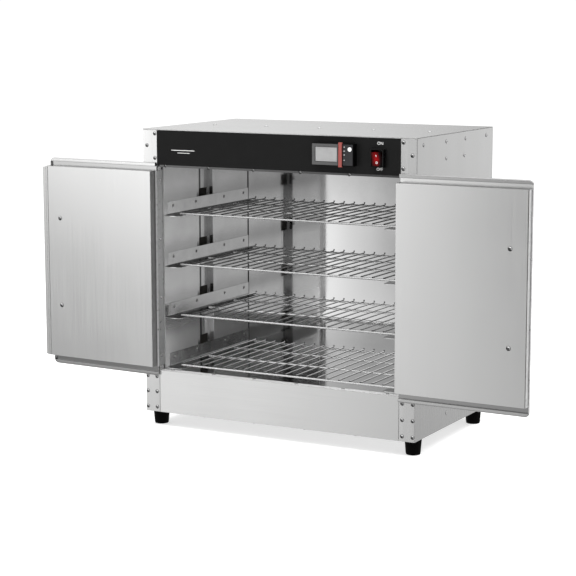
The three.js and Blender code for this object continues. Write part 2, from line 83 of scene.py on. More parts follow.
# ---- node graphs
class Graph:
    """A small writer for shader node trees."""

    def __init__(self, tree):
        self.tree = tree
        self.tree.nodes.clear()

    def add(self, kind, inputs=None, **settings):
        """A node; each of its inputs is given as a value or as the socket that feeds it."""
        node = self.tree.nodes.new(kind)
        for key, value in settings.items():
            setattr(node, key, value)
        for key, value in (inputs or {}).items():
            if isinstance(value, bpy.types.NodeSocket):
                self.tree.links.new(value, node.inputs[key])
            else:
                node.inputs[key].default_value = value
        return node

    def math(self, operation, a, b=0.0):
        return self.add("ShaderNodeMath", {0: a, 1: b}, operation=operation).outputs[0]

    def product(self, total, *factors):
        for factor in factors:
            total = self.math("MULTIPLY", total, factor)
        return total

    def noise(self, scale, detail=2.0, roughness=0.5):
        """Noise over the piece's own metres; scale is one number, or one along each axis."""
        scale = scale if isinstance(scale, tuple) else (scale, scale, scale)
        place = self.add("ShaderNodeTexCoord").outputs["Object"]
        stretched = self.add("ShaderNodeMapping", {"Vector": place, "Scale": scale}).outputs[0]
        inputs = {"Vector": stretched, "Scale": 1.0, "Detail": detail, "Roughness": roughness}
        return self.add("ShaderNodeTexNoise", inputs).outputs["Fac"]

    def spread(self, value, low, high, start=0.3, end=0.7, kind="LINEAR"):
        """value, mapped from start..end to low..high."""
        inputs = {"Value": value, "From Min": start, "From Max": end, "To Min": low, "To Max": high}
        return self.add("ShaderNodeMapRange", inputs, interpolation_type=kind).outputs[0]

    def eased(self, value, low, high, start, end):
        """The same with soft ends."""
        return self.spread(value, low, high, start, end, "SMOOTHSTEP")

    def between(self, value, low, high, soft):
        """1 where value lies between low and high, falling to 0 over a soft margin."""
        rise = self.spread(value, 0.0, 1.0, low - soft / 2, low + soft / 2)
        fall = self.spread(value, 1.0, 0.0, high - soft / 2, high + soft / 2)
        return self.product(rise, fall)

    def dimmed(self, total, mask, share):
        """total, brought to a share of itself where the mask is 1."""
        return self.product(total, self.spread(mask, 1.0, share, 0.0, 1.0))

    def axes(self, vector):
        return tuple(self.add("ShaderNodeSeparateXYZ", {"Vector": vector}).outputs)

    def place(self):
        """The piece's own X, Y and Z, in metres."""
        return self.axes(self.add("ShaderNodeTexCoord").outputs["Object"])

    def normal(self):
        return self.add("ShaderNodeNewGeometry").outputs["Normal"]

    def along(self, vector, way):
        """How far a unit vector points one way, from -1 to 1."""
        node = self.add("ShaderNodeVectorMath", {0: vector, 1: way}, operation="DOT_PRODUCT")
        return node.outputs["Value"]

    def tinted(self, color, share):
        """A colour, or a grey given by its tone, multiplied by share."""
        color = color if isinstance(color, tuple) else (color, color, color)
        node = self.add("ShaderNodeVectorMath", {0: color, "Scale": share}, operation="SCALE")
        return node.outputs[0]

    def bump(self, height, strength, distance):
        inputs = {"Height": height, "Strength": strength, "Distance": distance}
        return self.add("ShaderNodeBump", inputs).outputs[0]


def surface(name, build):
    """A material whose Principled shader takes the inputs that build(graph) returns."""
    coat = bpy.data.materials.new(name)
    coat.use_nodes = True
    graph = Graph(coat.node_tree)
    shader = graph.add("ShaderNodeBsdfPrincipled", build(graph))
    graph.add("ShaderNodeOutputMaterial", {"Surface": shader.outputs[0]})
    return coat


def material(build):
    """Turns build(graph, ...), which returns a shader's inputs, into a maker of named materials."""

    def make(name, *numbers, **settings):
        return surface(name, lambda graph: build(graph, *numbers, **settings))

    return make


# ---- materials
@material
def brushed(graph, tone, roughness, grain, clouds=0.03, relief=0.00002, streaks=0.04, metallic=1.0):
    """Stainless sheet: fine lines along the grain, soft clouds and a slightly uneven polish."""

    def scale(along, across):
        return tuple(along if axis == grain else across for axis in "xyz")

    lines = graph.noise(scale(6.0, 700.0), 3.0, 0.6)
    wide = graph.noise(scale(1.2, 26.0))
    cloud = graph.noise(5.0, 3.0)
    spots, stripes = graph.spread(cloud, -clouds, clouds), graph.spread(wide, -clouds, clouds)
    mottle = graph.math("ADD", spots, stripes)
    tint = graph.math("ADD", graph.spread(lines, 1 - streaks, 1 + streaks), mottle)
    uneven = graph.math("ADD", graph.spread(lines, -0.03, 0.03), graph.spread(cloud, -0.02, 0.02))
    return {
        "Base Color": graph.tinted((tone, tone, tone * 0.995), tint),
        "Roughness": graph.math("ADD", uneven, roughness),
        "Metallic": metallic,
        "Normal": graph.bump(lines, 0.12, relief),
    }


# Painted shade in the side liner's air channel and at its slots, in metres behind the front: where
# each darkened part starts and ends, and the share of its tone that the steel keeps there.
CHANNEL_PAINTED_SHADE = ((0.183, 0.189, 0.1), (0.15, 0.183, 0.55))
SLOT_PAINTED_SHADE = ((0.153, 0.1625, 0.25), (0.184, 0.19, 0.15), (0.19, 0.223, 0.45))


@material
def liner_wall(graph, tone, roughness):
    """The side liner's mirror steel, with painted shade in its channel, at its slots and round each
    rail.
    """
    x, y, z = graph.place()
    recess = graph.spread(graph.math("ABSOLUTE", x), 0.0, 1.0, 0.2795, 0.2802)
    channel = graph.spread(y, 0.0, 1.0, FRONT + 0.188, FRONT + 0.232)
    haze = graph.noise(9.0, 4.0, 0.6)
    # Painted shade in the channel: darker toward its back, and darker still in set bands.
    total = graph.dimmed(graph.spread(haze, 0.9, 1.05), graph.product(recess, channel), 0.4)
    for start, end, share in CHANNEL_PAINTED_SHADE:
        strip = graph.between(y, FRONT + start, FRONT + end, 0.001)
        total = graph.dimmed(total, graph.product(recess, strip), share)

    # bay runs from 0 at one rail's top edge to 1 at the next one's.
    lift = graph.math("SUBTRACT", z, BASE + (RAIL_TOP - 3 * LEVEL_PITCH) * MM)
    bay = graph.math("FRACT", graph.math("DIVIDE", lift, LEVEL_PITCH * MM))
    # Painted shade just over each rail and under the next rail's ledge, and a little between.
    total = graph.dimmed(total, graph.eased(bay, 1.0, 0.0, 0.0, 0.35), 0.72)
    total = graph.dimmed(total, graph.eased(bay, 0.0, 1.0, 0.72, 0.98), 0.72)
    total = graph.dimmed(total, graph.between(bay, 0.5, 0.9, 0.3), 0.95)

    # Painted shade at the slots, low in each bay, on the faces that look across the chamber.
    across = graph.math("ABSOLUTE", graph.axes(graph.normal())[0])
    facing_in = graph.spread(across, 0.0, 1.0, 0.4, 0.6)
    low = graph.product(graph.eased(bay, 1.0, 0.0, 0.0, 0.13), facing_in)
    for start, end, share in SLOT_PAINTED_SHADE:
        slot = graph.between(y, FRONT + start, FRONT + end, 0.001)
        total = graph.dimmed(total, graph.product(slot, low), share)

    rim = graph.spread(y, 1.0, 0.0, FRONT + 0.0186, FRONT + 0.019)
    total = graph.dimmed(total, rim, 0.45)
    # Painted light: toward the bottom the tone rises up to 1.6 times and the steel is less of a mirror.
    height = graph.math("SUBTRACT", z, BASE)
    mirror = graph.eased(height, 0.55, 0.92, 0.1, 0.24)
    total = graph.product(total, graph.eased(height, 1.6, 1.0, 0.11, 0.24))
    return {
        "Base Color": graph.tinted(tone, total),
        "Roughness": graph.spread(haze, roughness - 0.02, roughness + 0.04),
        "Metallic": graph.dimmed(mirror, rim, 0.0),
    }


@material
def plain_metal(graph, tone, roughness, metallic=1.0):
    """Small turned, drawn or plated metal, with a faint unevenness."""
    haze = graph.noise(120.0, 3.0)
    return {
        "Base Color": graph.tinted(tone, graph.spread(haze, 0.9, 1.05)),
        "Roughness": graph.spread(haze, roughness - 0.03, roughness + 0.06),
        "Metallic": metallic,
    }


@material
def chamber_sheet(graph, tone, roughness, shares):
    """The chamber's floor and back: a mirror finish; painted light: shares scale its tone from low to
    high.
    """
    low, middle, high = shares
    haze = graph.noise(9.0, 4.0, 0.6)
    height = graph.math("SUBTRACT", graph.place()[2], BASE)
    under = graph.spread(height, low / middle, 1.0, 0.12, 0.28)
    over = graph.spread(height, middle, high, 0.28, 0.5)
    total = graph.product(under, over, graph.spread(haze, 0.94, 1.03))
    return {
        "Base Color": graph.tinted(tone, total),
        "Roughness": graph.spread(haze, roughness - 0.02, roughness + 0.05),
        "Metallic": 1.0,
        "Normal": graph.bump(graph.noise((7.0, 7.0, 4.0), 1.0), 0.5, 0.0002),
    }


@material
def painted_light_metal(graph, tone, under, roughness, light=(0.0, 0.0, 1.0), start=0.1, end=0.75):
    """Drawn wire or polished steel, pale in painted light toward a set way and in painted shade
    elsewhere.
    """
    haze = graph.noise(120.0, 3.0)
    lit = graph.eased(graph.along(graph.normal(), light), under, tone, start, end)
    return {
        "Base Color": graph.tinted(1.0, graph.product(lit, graph.spread(haze, 0.92, 1.03))),
        "Roughness": graph.spread(haze, roughness - 0.03, roughness + 0.06),
        "Metallic": 1.0,
    }


@material
def angle_steel(graph, tone, roughness):
    """The rails' sheet: a pale web, painted shade on its level ledge, a painted highlight on its fold.
    """
    haze = graph.noise(30.0, 4.0, 0.6)
    upward = graph.axes(graph.normal())[2]
    ledge = graph.eased(graph.math("ABSOLUTE", upward), 0.0, 1.0, 0.6, 0.95)
    # Painted shade on the level ledge; a painted highlight, nearly twice as bright, on the sloping
    # fold.
    total = graph.dimmed(graph.spread(haze, 0.9, 1.03), ledge, 0.35)
    total = graph.dimmed(total, graph.between(upward, 0.2, 0.55, 0.1), 1.9)
    return {
        "Base Color": graph.tinted(tone, total),
        "Roughness": graph.spread(haze, roughness - 0.03, roughness + 0.06),
        "Metallic": 1.0,
    }


@material
def moulded(graph, color, roughness, specular=0.5, pebble=900.0, relief=0.00004, coat=0.0):
    """Plastic or rubber with a fine moulded pebble and slightly uneven sheen."""
    patches = graph.noise(40.0, 3.0)
    return {
        "Base Color": graph.tinted(color, graph.spread(patches, 0.92, 1.08)),
        "Roughness": graph.spread(patches, roughness - 0.04, roughness + 0.05),
        "Specular IOR Level": specular,
        "Coat Weight": coat,
        "Normal": graph.bump(graph.noise(pebble), 0.3, relief),
    }


@material
def lens(graph, color):
    """The rocker's clear red cap, with painted light round its middle and painted shade to black at its
    edges.
    """
    x, _, z = graph.place()
    across = graph.math("SUBTRACT", x, SWITCH["x"] * MM)
    rise = graph.math("SUBTRACT", z, BASE + SWITCH["z"] * MM)
    # Painted light and shade: brightest in the middle, falling off toward each edge.
    near = graph.eased(across, 0.16, 1.0, -0.011, -0.001)
    far = graph.eased(across, 1.0, 0.03, 0.0, 0.0085)
    middle = graph.eased(graph.math("ABSOLUTE", rise), 1.0, 0.3, 0.002, 0.016)
    facets = graph.noise(420.0)
    total = graph.product(near, far, middle, graph.spread(facets, 0.75, 1.2))
    return {
        "Base Color": graph.tinted(color, total),
        "Roughness": 0.22,
        "Specular IOR Level": 0.12,
        "Normal": graph.bump(facets, 0.2, 0.0002),
    }


@material
def wool(graph, color):
    """Mineral wool board: matted fibres with a rough, uneven colour."""
    fibres = graph.noise((90.0, 500.0, 60.0), 5.0, 0.7)
    return {
        "Base Color": graph.tinted(color, graph.spread(fibres, 0.7, 1.25)),
        "Roughness": 0.95,
        "Normal": graph.bump(fibres, 0.8, 0.002),
    }


DOOR_STEEL = brushed("door_steel", 0.78, 0.2, "z", clouds=0.004, relief=0.000002, streaks=0.006)
# Painted shade: the left pan's lip is a darker copy of the door steel.
LIP_STEEL = brushed("lip_painted_shade", 0.69, 0.24, "z", clouds=0.004, relief=0.000003, streaks=0.006)
OUTER_STEEL = brushed("outer_steel", 0.78, 0.24, "z", clouds=0.008, relief=0.000004, streaks=0.01)
COVER_STEEL = brushed(
    "cover_steel", 0.5, 0.22, "x", clouds=0.008, relief=0.000004, streaks=0.01, metallic=0.7
)
KICK_STEEL = brushed("kick_steel", 0.85, 0.22, "x", clouds=0.006, relief=0.000004, streaks=0.008)
PLATE_STEEL = brushed("plate_steel", 0.78, 0.24, "z", clouds=0.06, relief=0.00006)
# Painted shade on the pans' side walls: a dark copy of the door steel.
SHADED_STEEL = brushed("pan_wall_painted_shade", 0.3, 0.3, "z", clouds=0.01, relief=0.000003, streaks=0.02)
WALL_STEEL = liner_wall("liner_wall_steel", 1.0, 0.06)
# Painted light on the chamber's back: tone doubled low down, 1.5 times in the middle, 0.8 at the top.
BACK_STEEL = chamber_sheet("liner_back_steel", 0.88, 0.04, (2.0, 1.5, 0.8))
FLOOR_STEEL = chamber_sheet("liner_floor_steel", 0.95, 0.06, (1.0, 1.0, 1.0))
# Painted shade: the ceiling is a dark copy of the liner steel, darkest on its faces toward the front.
CEILING_STEEL = painted_light_metal("ceiling_painted_shade", 0.11, 0.25, 0.12, (0.0, -1.0, 0.0), 0.4, 0.9)
RAIL_STEEL = angle_steel("rail_steel", 0.92, 0.18)
# Painted light on wires and screw heads: past white on their flanks toward a set light, darker
# elsewhere.
WIRE_STEEL = painted_light_metal("wire_steel", 2.8, 0.03, 0.15, start=0.2)
CROSS_STEEL = painted_light_metal("cross_wire_steel", 2.2, 0.8, 0.25)
SCREW_STEEL = painted_light_metal("screw_steel", 1.6, 0.05, 0.2, (0.55, 0.3, 0.75), -0.45, 0.35)
RAIL_SCREW_STEEL = painted_light_metal("rail_screw_steel", 1.3, 0.25, 0.3)
# Painted shade: near black, for rings round screw heads, the chamber's back corners and the right pan's
# edge.
PAINTED_SHADE_STEEL = plain_metal("near_black_painted_shade", 0.06, 0.5)
# Painted light: a pale, mostly unmetallic sheet laid on the sill so that it reads bright.
SILL_PAINTED_LIGHT_STEEL = plain_metal("sill_painted_light", 0.85, 0.35, metallic=0.3)
# Painted shade, paler than the near black: the rings round the rail screws' heads.
SOFT_STEEL = plain_metal("rail_screw_ring_painted_shade", 0.45, 0.4)
TRIM_GREY = plain_metal("jamb_trim_grey", 0.3, 0.5, metallic=0.0)
HINGE_STEEL = plain_metal("hinge_steel", 0.95, 0.3)
# Painted shade: the hinge plates are a darker copy of the knuckles' steel.
LEAF_STEEL = plain_metal("hinge_plate_painted_shade", 0.64, 0.3)
# Painted shade along the crown of each door skin's rolled top and bottom edges.
EDGE_STEEL = plain_metal("rolled_edge_painted_shade", 0.62, 0.25)
# Painted highlight on the doors' free edges: paler steel that is less of a mirror.
BRIGHT_EDGE_STEEL = plain_metal("free_edge_painted_highlight", 0.85, 0.3, metallic=0.75)
HEATER_STEEL = plain_metal("heater_sheath", 0.16, 0.5)
FASCIA_BLACK = moulded("fascia_film", 0.009, 0.42, specular=0.1, pebble=1600.0)
CASE_BLACK = moulded("case_plastic", 0.0015, 0.4, specular=0.08)
KEYPAD_GREY = (0.025, 0.025, 0.027)
PANEL_GREY = moulded("keypad_plastic", KEYPAD_GREY, 0.5, specular=0.3, pebble=300.0, relief=0.0004)
BEZEL_GREY = moulded("bezel_plastic", 0.078, 0.35, specular=0.4)
WINDOW_GREY = moulded("display_window", 0.31, 0.3, specular=0.4, pebble=60.0, relief=0.0, coat=0.3)
CLIP_RED = moulded("clip_plastic", (0.29, 0.075, 0.065), 0.4, specular=0.2)
SWITCH_BLACK = moulded("switch_plastic", 0.0015, 0.25, specular=0.3, pebble=600.0, relief=0.0)
LENS_RED = lens("rocker_lens", (0.245, 0.002, 0.0035))
MARK_WHITE = moulded("printed_white", (0.8, 0.8, 0.79), 0.5, pebble=2000.0)
RUBBER = moulded("foot_rubber", 0.0012, 0.6, specular=0.06, pebble=500.0, relief=0.0001)
WOOL = wool("mineral_wool", (0.05, 0.047, 0.04))


# ---- shapes
def turns(sides):
    """The angles round a ring of points."""
    return [2 * math.pi * k / sides for k in range(sides)]


def ring(radius, height, sides):
    """A level ring of points round the Z axis."""
    return [Vector((radius * math.cos(t), radius * math.sin(t), height)) for t in turns(sides)]


def arc(steps, first=0, last=90):
    """Angles in radians from first to last, which are in degrees and both included."""
    return [math.radians(first + (last - first) * k / steps) for k in range(steps + 1)]


def bands(count, loops, closed=True):
    """The faces between neighbouring loops of count points each."""
    faces = []
    for i in range(loops - 1):
        for k in range(count if closed else count - 1):
            here, after = i * count + k, i * count + (k + 1) % count
            faces.append((here, after, after + count, here + count))
    return faces


class Shape:
    """Points and faces of one piece, gathered from simple forms in the frame's metres."""

    def __init__(self):
        self.points = []
        self.faces = []
        self.slots = []

    def add(self, points, faces, slots=0):
        """slots gives each face's material, or the one for all, by its number in the object's list."""
        start = len(self.points)
        self.points += [Vector(point) for point in points]
        self.faces += [[start + i for i in face] for face in faces]
        self.slots += slots if isinstance(slots, list) else [slots] * len(faces)

    def block(self, low, high, place=Matrix.Identity(4), slot=0):
        (x0, y0, z0), (x1, y1, z1) = low, high
        corners = [place @ Vector((x, y, z)) for x in (x0, x1) for y in (y0, y1) for z in (z0, z1)]
        faces = [(0, 1, 3, 2), (4, 6, 7, 5), (0, 4, 5, 1), (2, 3, 7, 6), (0, 2, 6, 4), (1, 5, 7, 3)]
        self.add(corners, faces, slot)

    def rings(self, rings, slot=0):
        """A closed skin over rings of equally many points, with a cap on each end."""
        count = len(rings[0])
        last = (len(rings) - 1) * count
        caps = [tuple(range(count)), tuple(range(last, last + count))]
        points = [point for row in rings for point in row]
        self.add(points, bands(count, len(rings)) + caps, slot)

    def tube(self, path, radius, sides=12):
        """A round bar along a path of points that stays in one plane or is straight."""
        ends = [path[0], *path, path[-1]]
        flat = planar_normal(path)
        rings = []
        for i, point in enumerate(path):
            run = (ends[i + 2] - ends[i]).normalized()
            across = run.cross(flat).normalized()
            ways = [math.cos(t) * flat + math.sin(t) * across for t in turns(sides)]
            rings.append([point + radius * way for way in ways])
        self.rings(rings)

    def turned(self, profile, place, sides=32, slot=0):
        """A profile of (radius, height) turned about the local Z of the place matrix."""
        rings = [ring(radius, height, sides) for radius, height in profile]
        self.rings([[place @ point for point in points] for points in rings], slot)

    def object(self, name, coats, bevel=0.0, crease=35.0, even=False):
        """The finished piece: its soft normals break at the crease angle, its edges are rounded."""
        mesh = bpy.data.meshes.new(name)
        mesh.from_pydata(self.points, [], self.faces)
        tidy = bmesh.new()
        tidy.from_mesh(mesh)
        bmesh.ops.recalc_face_normals(tidy, faces=tidy.faces)
        tidy.to_mesh(mesh)
        tidy.free()
        for coat in coats if isinstance(coats, list) else [coats]:
            mesh.materials.append(coat)
        mesh.polygons.foreach_set("material_index", self.slots)
        piece = bpy.data.objects.new(name, mesh)
        bpy.context.scene.collection.objects.link(piece)
        mesh.polygons.foreach_set("use_smooth", [True] * len(mesh.polygons))
        mesh.set_sharp_from_angle(angle=math.radians(crease))
        if bevel:
            soften(piece, bevel)
        if even:
            normals = piece.modifiers.new("even_normals", "WEIGHTED_NORMAL")
            normals.keep_sharp = True
        return piece


def planar_normal(path):
    """A unit vector square to a path, which lies in one plane or is straight."""
    run = (path[-1] - path[0]).normalized()
    for point in path[1:-1]:
        side = run.cross(point - path[0])
        if side.length > 1e-6:
            return side.normalized()
    other = Vector((0, 0, 1)) if abs(run.z) < 0.9 else Vector((1, 0, 0))
    return run.cross(other).normalized()


def facing(place, normal):
    """A matrix that moves the origin to place and turns local +Z to normal."""
    return Matrix.Translation(place) @ Vector(normal).to_track_quat("Z", "Y").to_matrix().to_4x4()


def soften(piece, width):
    """Rounds a piece's sharp edges with a modifier, so its mesh stays as it is."""
    bevel = piece.modifiers.new("round_edges", "BEVEL")
    bevel.width = width
    bevel.segments = 2
    bevel.limit_method = "ANGLE"
    bevel.angle_limit = math.radians(32)


def dress(name, coat, bevel=0.0):
    """A CAD node that keeps its shape: it gets its material and rounded edges."""
    node = nodes[name]
    node.data.materials.clear()
    node.data.materials.append(coat)
    if "custom_normal" in node.data.attributes:
        node.data.attributes.remove(node.data.attributes["custom_normal"])
    node.data.polygons.foreach_set("use_smooth", [False] * len(node.data.polygons))
    if bevel:
        weld = node.modifiers.new("join_corners", "WELD")
        weld.merge_threshold = 0.00001
        flat = node.modifiers.new("join_flat_faces", "DECIMATE")
        flat.decimate_type = "DISSOLVE"
        flat.angle_limit = math.radians(1)
        soften(node, bevel)


# ---- camera, light and floor
def place_camera():
    """Stands right of the cabinet and looks down at it a little, through a long lens."""
    yaw = math.radians(28.40)
    pitch = math.radians(8.84)
    roll = Matrix.Rotation(math.radians(-0.094), 3, "Z").to_quaternion()
    level = math.cos(pitch)
    ahead = Vector((-math.sin(yaw) * level, math.cos(yaw) * level, -math.sin(pitch)))
    data = bpy.data.cameras.new("camera")
    data.lens = 111.25
    data.sensor_width = 36.0
    data.clip_end = 200.0
    camera = bpy.data.objects.new("camera", data)
    camera.rotation_mode = "QUATERNION"
    camera.rotation_quaternion = ahead.to_track_quat("-Z", "Y") @ roll
    camera.location = cab(1744.8, -3169.9, 853.2)
    bpy.context.scene.collection.objects.link(camera)
    bpy.context.scene.camera = camera


def toward(azimuth, elevation):
    """The direction azimuth degrees right of the way the doors face, and elevation degrees up."""
    a, e = math.radians(azimuth), math.radians(elevation)
    return Vector((math.sin(a) * math.cos(e), -math.cos(a) * math.cos(e), math.sin(e)))


# Soft pale cards round the studio, as the steel mirrors them: azimuth, elevation, how far their
# full brightness and their whole soft edge reach, all in degrees, and how much they add.
CARDS = (
    (-30.8, -12.4, 1.4, 8.1, 0.49),
    (-38.6, 5.4, 0.5, 14.5, 1.35),
    (-33.0, -2.5, 4.0, 9.8, 0.62),
    (166.0, 0.0, 3.0, 17.0, 0.58),
    (-144.0, 5.0, 2.0, 17.0, 0.5),
    (3.0, -9.0, 2.0, 12.0, 0.2),
    (62.0, -14.0, 4.0, 20.0, 0.3),
    (118.0, -10.0, 4.0, 21.0, 0.36),
    (-80.0, -13.0, 4.0, 22.0, 0.36),
    (-120.0, -22.0, 2.0, 16.0, 0.25),
)
# A darker place over the horizon, given the same way.
SHADE = (26.0, 12.0, 14.0, 32.0, -0.26)


def light_studio():
    world = bpy.data.worlds.new("studio")
    world.use_nodes = True
    bpy.context.scene.world = world
    graph = Graph(world.node_tree)
    ray = graph.add("ShaderNodeTexCoord").outputs["Generated"]
    height = graph.axes(ray)[2]

    def lobe(azimuth, elevation, inner, outer, light):
        near = graph.along(ray, toward(azimuth, elevation))
        edge, full = math.cos(math.radians(outer)), math.cos(math.radians(inner))
        return graph.eased(near, 0.0, light, edge, full)

    horizon = graph.spread(height, 0.435, 0.3, -0.3, 0.02)
    zenith = graph.eased(height, 0.0, 0.8, 0.2, 0.75)
    total = graph.math("ADD", horizon, zenith)
    for card in CARDS:
        total = graph.math("ADD", total, lobe(*card))
    above = graph.spread(height, 0.0, 1.0, 0.0, 0.07)
    total = graph.math("ADD", total, graph.product(lobe(*SHADE), above))
    background = graph.add("ShaderNodeBackground", {"Color": (1, 1, 1, 1), "Strength": total})
    graph.add("ShaderNodeOutputWorld", {"Surface": background.outputs[0]})

    lamp_data = bpy.data.lights.new("overhead", "AREA")
    lamp_data.shape = "RECTANGLE"
    lamp_data.size = 5.0
    lamp_data.size_y = 4.0
    lamp_data.energy = 260
    lamp = bpy.data.objects.new("overhead", lamp_data)
    lamp.location = (0.3, -0.6, 3.6)
    lamp.visible_glossy = False
    bpy.context.scene.collection.objects.link(lamp)


def lay_floor():
    """A plain pale floor and a white backdrop round it. The steel mirrors the cards and not these."""
    white, black = (1, 1, 1, 1), (0, 0, 0, 1)
    reach, up, sides = 14.0, Vector((0, 0, 9.0)), 96

    def pale(graph):
        return {
            "Base Color": graph.tinted(0.6, graph.spread(graph.noise(0.8), 0.99, 1.01)),
            "Roughness": 0.9,
            "Specular IOR Level": 0.0,
            "Emission Color": white,
            "Emission Strength": 0.6,
        }

    def glow(graph):
        return {
            "Base Color": black,
            "Specular IOR Level": 0.0,
            "Emission Color": white,
            "Emission Strength": 1.05,
        }

    rim = ring(reach, 0.0, sides)
    disc = Shape()
    disc.add(rim, [tuple(range(sides))])
    floor = disc.object("floor", surface("floor_paint", pale))
    wall = Shape()
    wall.add(rim + [point + up for point in rim], bands(sides, 2))
    backdrop = wall.object("backdrop", surface("backdrop_paper", glow))
    backdrop.visible_diffuse = False
    for piece in (floor, backdrop):
        piece.visible_glossy = False
        piece.visible_shadow = False


place_camera()
light_studio()
lay_floor()
bpy.context.scene.view_settings.view_transform = "Standard"


# ---- screws
SCREW_RADIUS = 3.4 * MM


def screw_head(shape, place, normal, radius, turn, rise):
    """A domed head with a cross recess, standing on place and facing normal; rise flattens it."""
    base = facing(place, normal) @ Matrix.Rotation(turn, 4, "Z")
    rings = [ring(radius, -0.1 * MM, 40)]
    for share in (1.0, 0.99, 0.93, 0.84, 0.74, 0.66, 0.56, 0.46, 0.36, 0.26, 0.16, 0.06):
        dome = 0.62 * math.sqrt(1.0 - share**2 * 0.86) - 0.06
        cross = 0.34 * (1 - share * 0.6) if share < 0.6 else 0.0
        points = ring(share, dome, 40)
        for point in points:
            if min(abs(point.x), abs(point.y)) < 0.14:
                point.z -= cross
        rings.append([Vector((x * radius, y * radius, z * radius * rise)) for x, y, z in points])
    shape.rings([[base @ point for point in points] for points in rings])
    # A thin ring round the head's foot, in the second material: painted shade.
    shape.turned([(radius * 1.22, -0.1 * MM), (radius * 1.22, 0.06 * MM)], base, 28, slot=1)


SCREW_COATS = (SCREW_STEEL, PAINTED_SHADE_STEEL)


def screws(name, spots, radius=SCREW_RADIUS, coats=SCREW_COATS, rise=1.0, body="cabinet"):
    """One piece holding the screw heads at spots, each a (place, normal)."""
    shape = Shape()
    for i, (place, normal) in enumerate(spots):
        screw_head(shape, place, normal, radius, 0.5 + 1.1 * i, rise)
    piece = shape.object(name, list(coats), crease=28)
    settle(piece, body=body)
    return piece


def body_screws():
    ahead, up, down, back = (0, -1, 0), (0, 0, 1), (0, 0, -1), (0, 1, 0)
    plates, flanks = [], []
    for side in (-1, 1):
        spots = [(288, 599), (288, 547.5), (307.5, 574)]
        spots += [(x, z) for x in (290, 313) for z in (77.5, 44, 10.3)]
        plates += [(cab(side * x, 0, z), ahead) for x, z in spots]
        spots = [(y, 593) for y in (31, 143, 243, 355)] + [(y, 559) for y in (144, 237)] + [(159, 30)]
        flanks += [(cab(side * HALF, y, z), (side, 0, 0)) for y, z in spots]
    screws("corner_plate_screws", plates)
    screws("side_panel_screws", flanks)

    def row(name, xs, y, z, normal, radius=SCREW_RADIUS):
        screws(name, [(cab(x, y, z), normal) for x in xs], radius)

    row("top_cover_screws", (-244, -116, 12, 139, 266), 175, HEIGHT, up)
    row("sill_screws", (-256, -154, -56, 44, 152, 253), 11, 91.8, up)
    row("kick_screws", (-176, -55, 65, 183), 9, 0, down, 4.6 * MM)
    row("header_screws", (-263, -158, -51, 58, 169), 1.8, 531.4, ahead, 3.0 * MM)

    spots = [(x, z) for x in (-300, -150, 0, 150, 300) for z in (14, 594)]
    spots += [(x, z) for x in (-300, 300) for z in (160, 305, 450)]
    screws("back_panel_screws", [(cab(x, DEPTH, z), back) for x, z in spots])


# ---- the cabinet's sheet metal
def cabinet_sheets():
    corners = [f"{level}_{side}_corner_plate" for level in ("upper", "lower") for side in SIDES]
    sheets = (
        (OUTER_STEEL, ("back_panel", "left_side_panel", "right_side_panel")),
        (COVER_STEEL, ("top_cover", "base_panel", "heat_shield", "heater_bracket")),
        (PLATE_STEEL, corners),
        (KICK_STEEL, ("kick_panel",)),
        (FASCIA_BLACK, ("control_fascia",)),
        (WALL_STEEL, ("liner_left_wall", "liner_right_wall")),
        (BACK_STEEL, ("liner_back_wall",)),
        (CEILING_STEEL, ("liner_ceiling",)),
        (FLOOR_STEEL, ("liner_floor",)),
    )
    for coat, names in sheets:
        for name in names:
            dress(name, coat, 0.4 * MM)
    for place in ("left", "right", "back"):
        dress(f"{place}_insulation", WOOL)
    # A pale strip laid on the sill: painted light.
    strip = Shape()
    strip.block(cab(-280, 1.6, 91.4), cab(280, 17.8, 91.8))
    settle(strip.object("sill_strip", SILL_PAINTED_LIGHT_STEEL, bevel=0.15 * MM))
    # Near-black strips down the chamber's two back corners, where the walls meet: painted shade.
    seams = Shape()
    for side in (-1, 1):
        seams.block(cab(side * 278.6 - 0.9, 379.2, 90), cab(side * 278.6 + 0.9, 380.2, 528.9))
    settle(seams.object("chamber_corner_seams", PAINTED_SHADE_STEEL))
    dress("heater_element", HEATER_STEEL)
    dress("thermal_cutout", CASE_BLACK, 0.6 * MM)
    dress("terminal_block", CASE_BLACK, 0.5 * MM)
    dress("temperature_probe", WIRE_STEEL, 0.6 * MM)


# ---- racks and rails
WIRE_COUNT, WIRE_PITCH, WIRE_BEND = 21, 25.2 * MM, 4.0 * MM
LONG_RADIUS, CROSS_RADIUS = 1.5 * MM, 2.25 * MM


def wire_rack(level):
    """Round welded wires: long ones with turned-up back ends, lying on four cross wires."""
    low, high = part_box(f"wire_rack_{level}")
    cross_height = low.z + CROSS_RADIUS
    long_height = cross_height + CROSS_RADIUS + LONG_RADIUS - 0.5 * MM
    back = high.y - LONG_RADIUS
    crosses = Shape()
    for y in (low.y + CROSS_RADIUS, low.y + 117.2 * MM, low.y + 227.2 * MM, high.y - 8 * MM):
        crosses.tube([Vector((x, y, cross_height)) for x in (low.x, high.x)], CROSS_RADIUS, 16)
    path = [(low.y + 0.6 * MM, long_height)]
    for turn in arc(6):
        reach = back - WIRE_BEND + WIRE_BEND * math.sin(turn)
        path.append((reach, long_height + WIRE_BEND - WIRE_BEND * math.cos(turn)))
    path.append((back, high.z - 5 * MM))
    wires = Shape()
    for i in range(WIRE_COUNT):
        x = (i - (WIRE_COUNT - 1) / 2) * WIRE_PITCH
        wires.tube([Vector((x, y, z)) for y, z in path], LONG_RADIUS, 12)
    piece = wires.object(f"rack_wires_{level}", WIRE_STEEL)
    under = crosses.object(f"rack_cross_wires_{level}", CROSS_STEEL)
    piece.visible_glossy = under.visible_glossy = False
    settle(piece, f"wire_rack_{level}", f"rack_{level}")
    settle(under, body=f"rack_{level}")


